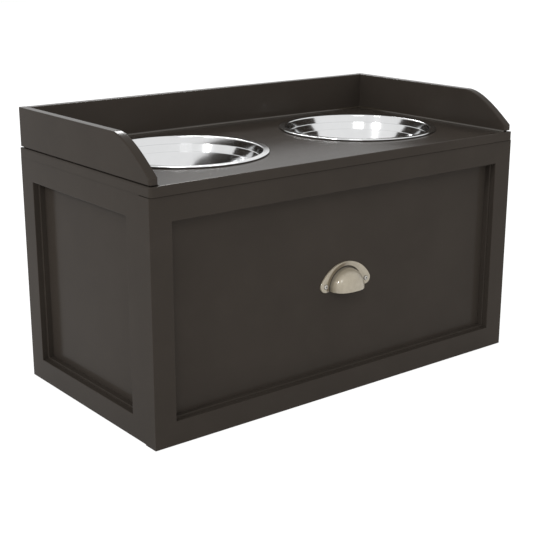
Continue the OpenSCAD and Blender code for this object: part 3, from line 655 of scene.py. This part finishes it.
def round_screw(x, turn, r=2.9, rise=1.8, shank=1.75, length=15.9):
    """Round-head screw as a polar grid: a shallow dome with a cross pressed
    into it, a short wall down to the plate, and the shank to its flat tip."""
    share = np.concatenate([np.linspace(0, 1, 25), [1, shank / r, shank / r, 0]])
    s, a = np.meshgrid(share, np.linspace(0, 2 * math.pi, 72, endpoint=False))
    px, pz = s * r * np.cos(a), s * r * np.sin(a)
    across = px * math.cos(turn) + pz * math.sin(turn)
    along = pz * math.cos(turn) - px * math.sin(turn)
    near, far = np.sort(np.abs([across, along]), axis=0)
    cross = np.clip((0.42 - near) / 0.18, 0, 1) * np.clip((0.62 * r - far) / 0.25, 0, 1)
    high = rise * np.sqrt(np.maximum(1 - 0.82 * s ** 2, 0)) - 0.75 * cross
    high[:, 25:27] = 0
    high[:, 27:] = -length
    return np.stack([x + px, pull_face - plate_t - high, pull_low + end_r + pz], -1)


def pale_nickel():
    """Brushed pale nickel with fine grain, and painted shade darkening the middle of each cross."""
    made, place = new_material("pale_nickel")
    grain = place.noise(place, 2600.0, 3.0, 0.6)
    across, up = (place.node("ShaderNodeSeparateXYZ", None, {0: place}, out=i) for i in (0, 2))
    side = (across - pull_x * MM).absolute() - pitch / 2 * MM
    middle = (side ** 2 + (up - (pull_low + end_r) * MM) ** 2) ** 0.5
    tone = grain.ramp(0.4, 0.7).mix((0.56, 0.54, 0.50), (0.44, 0.42, 0.38))
    # Painted shade: the middle of each screw's cross recess is darkened.
    tone = middle.ramp(0.7 * MM, 1.2 * MM, 0.9, 0).mix(tone, (0.03, 0.025, 0.02))
    shade(place, Base_Color=tone, Metallic=0.6, Roughness=0.30 + grain * 0.12,
          Normal=place.bump(grain, 0.00002, 0.5))
    return made


nickel = pale_nickel()
for side, name in ((-1, "left"), (1, "right")):
    loops = round_screw(pull_x + side * pitch / 2, 0.35 + side * 0.2)
    points, faces = ring(loops * MM, closed=False)
    put_mesh(f"pull_screw_{name}", points, faces, nickel, "drawer",
             ["pull_screws"], crease=60)


# Drawer box: four painted boards with edges rounded by 1.2 mm, screwed at the
# corners round a bottom held in grooves.
def board_loops(low, high, r):
    """Board between two corners with every edge rounded by r: rounded rectangles
    across X and Z, drawn in by a quarter circle towards both ends in Y."""
    (x0, y0, z0), (x1, y1, z1) = low, high
    turn = np.radians(90 - np.linspace(0, 90, 6))
    reach, drawn = r * (1 - np.sin(turn)), r * (1 - np.cos(turn))
    depth = np.concatenate([y0 + reach, y1 - reach[::-1]])
    inset = np.concatenate([drawn, drawn[::-1]])
    loops = []
    for y, cut in zip(depth, inset):
        k = max(r - cut, 1e-4)
        corners = [arc((x, z), k, a, a + 90, 5) for x, z, a in
                   ((x1 - r, z1 - r, 0), (x0 + r, z1 - r, 90), (x0 + r, z0 + r, 180),
                    (x1 - r, z0 + r, 270))]
        flat = np.concatenate(corners)
        loops.append(np.stack([flat[:, 0], np.full(len(flat), y), flat[:, 1]], 1))
    return np.array(loops)


for name in ("box_left_side", "box_right_side", "box_front", "box_back"):
    low, high = (np.array(corner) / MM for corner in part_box(name))
    points, faces = stack(board_loops(low, high, 1.2) * MM)
    put_mesh(f"{name}_painted", points, faces, paint, "drawer", [name])


# Runners and screws: zinc-plated steel, with white nylon strips to glide on,
# soft bumper pads and beech dowels. All of them keep their shapes.
def plain_metal(name, low, high, rough):
    """Zinc plate: pale crystalline patches, each with its own grey and gloss,
    under a fine grain."""
    made, place = new_material(name)
    spangle = place.node("ShaderNodeTexVoronoi", {"feature": "F1"},
                         {"Vector": place, "Scale": 260.0}, out="Color")
    grey = place.node("ShaderNodeSeparateXYZ", None, {0: spangle})
    grain = place.noise(place, 1500.0, 3.0, 0.6)
    tone = grey.mix(low, high)
    shade(place, Base_Color=tone, Metallic=1.0, Roughness=rough + grey * 0.12 + grain * 0.06,
          Normal=place.bump(grain, 0.00002, 0.5))
    return made


zinc = plain_metal("zinc_plate", (0.52, 0.53, 0.55), (0.66, 0.67, 0.69), 0.28)
dress(zinc, "left_runner_channel", "right_runner_channel", "left_runner_slide",
      "right_runner_slide", "gallery_screws", "back_screws", "board_screws",
      "channel_screws", "box_screws", "front_screws", "slide_screws")


def speckled(name, base, rough, scale):
    """Dull material with a fine mottled grain over broad cloudy patches."""
    made, place = new_material(name)
    grain = place.noise(place, scale, 4.0, 0.6)
    cloud = place.noise(place, scale / 20, 2.0, 0.5)
    tone = (grain * 0.5 + cloud * 0.5).ramp(0.35, 0.65).mix(
        tuple(0.85 * c for c in base), tuple(min(1.1 * c, 1) for c in base))
    shade(place, Base_Color=tone, Roughness=rough + grain * 0.1,
          Normal=place.bump(grain, 0.00003, 0.5))
    return made


dress(speckled("nylon", (0.78, 0.78, 0.75), 0.42, 700.0), "glide_strips")
dress(speckled("bumper_rubber", (0.62, 0.61, 0.57), 0.6, 900.0), "bumpers")
dress(speckled("beech", (0.60, 0.43, 0.26), 0.6, 300.0), "carcass_dowels")


# Studio: a pale floor that keeps the shadow, a white surround and four soft
# lamps. The big fill lamp doesn't show in the steel, which it would clip.
def lamp(name, place, aim, size, power, mirrored=True):
    """Square area lamp at place, facing aim; mirrored says if the steel shows it."""
    data = bpy.data.lights.new(name, "AREA")
    data.size, data.energy = size, power
    made = bpy.data.objects.new(name, data)
    made.location = place
    made.visible_glossy = mirrored
    away = np.array(aim) - np.array(place)
    flat = math.hypot(away[0], away[1])
    made.rotation_euler = Euler((math.atan2(flat, -away[2]), 0,
                                 math.atan2(away[0], -away[1]) + math.pi))
    bpy.context.scene.collection.objects.link(made)


lamp("key", (-2.6, -0.6, 1.75), (0, 0, 0.2), 0.45, 22)
lamp("front", (-1.9, -2.05, 2.35), (0, 0, 0.3), 1.0, 14)
lamp("fill", (0.9, -2.6, 1.0), (0, 0, 0.2), 2.6, 12, mirrored=False)
lamp("rear", (1.41, 2.12, 1.91), (0, 0, 0.3), 0.6, 29)



def shown(wire):
    """1 on rays from the camera, from a mirror or through glass, otherwise 0."""
    camera_ray, glossy_ray, glass_ray = (
        wire.node("ShaderNodeLightPath", out=f"Is {kind} Ray")
        for kind in ("Camera", "Glossy", "Transmission"))
    return camera_ray.larger(glossy_ray.larger(glass_ray))


world = bpy.data.worlds.new("studio")
bpy.context.scene.world = world
world.use_nodes = True
world.node_tree.nodes.clear()
sky = Wire(world.node_tree)
glow = sky.node("ShaderNodeBackground", None,
                {"Color": (1.0, 1.0, 1.0), "Strength": shown(sky).ramp(0, 1, 0.64, 1.0)})
sky.node("ShaderNodeOutputWorld", None, {"Surface": glow})

floor_mesh = bpy.data.meshes.new("floor")
floor_mesh.from_pydata([(-8, -8, 0), (8, -8, 0), (8, 8, 0), (-8, 8, 0)], [], [(0, 1, 2, 3)])
floor = bpy.data.objects.new("floor", floor_mesh)
bpy.context.scene.collection.objects.link(floor)
floor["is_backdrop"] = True
pale, place = new_material("pale_floor")
matt = place.node("ShaderNodeBsdfDiffuse", None, {"Color": (0.9, 0.9, 0.9)})
bright = place.node("ShaderNodeEmission", None, {"Color": (1.0, 1.0, 1.0), "Strength": 1.25})
both = place.node("ShaderNodeMixShader", None, {0: shown(place) * 0.72, 1: matt, 2: bright})
place.node("ShaderNodeOutputMaterial", None, {"Surface": both})
floor_mesh.materials.append(pale)

bpy.context.scene.view_settings.view_transform = "Standard"

low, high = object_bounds()
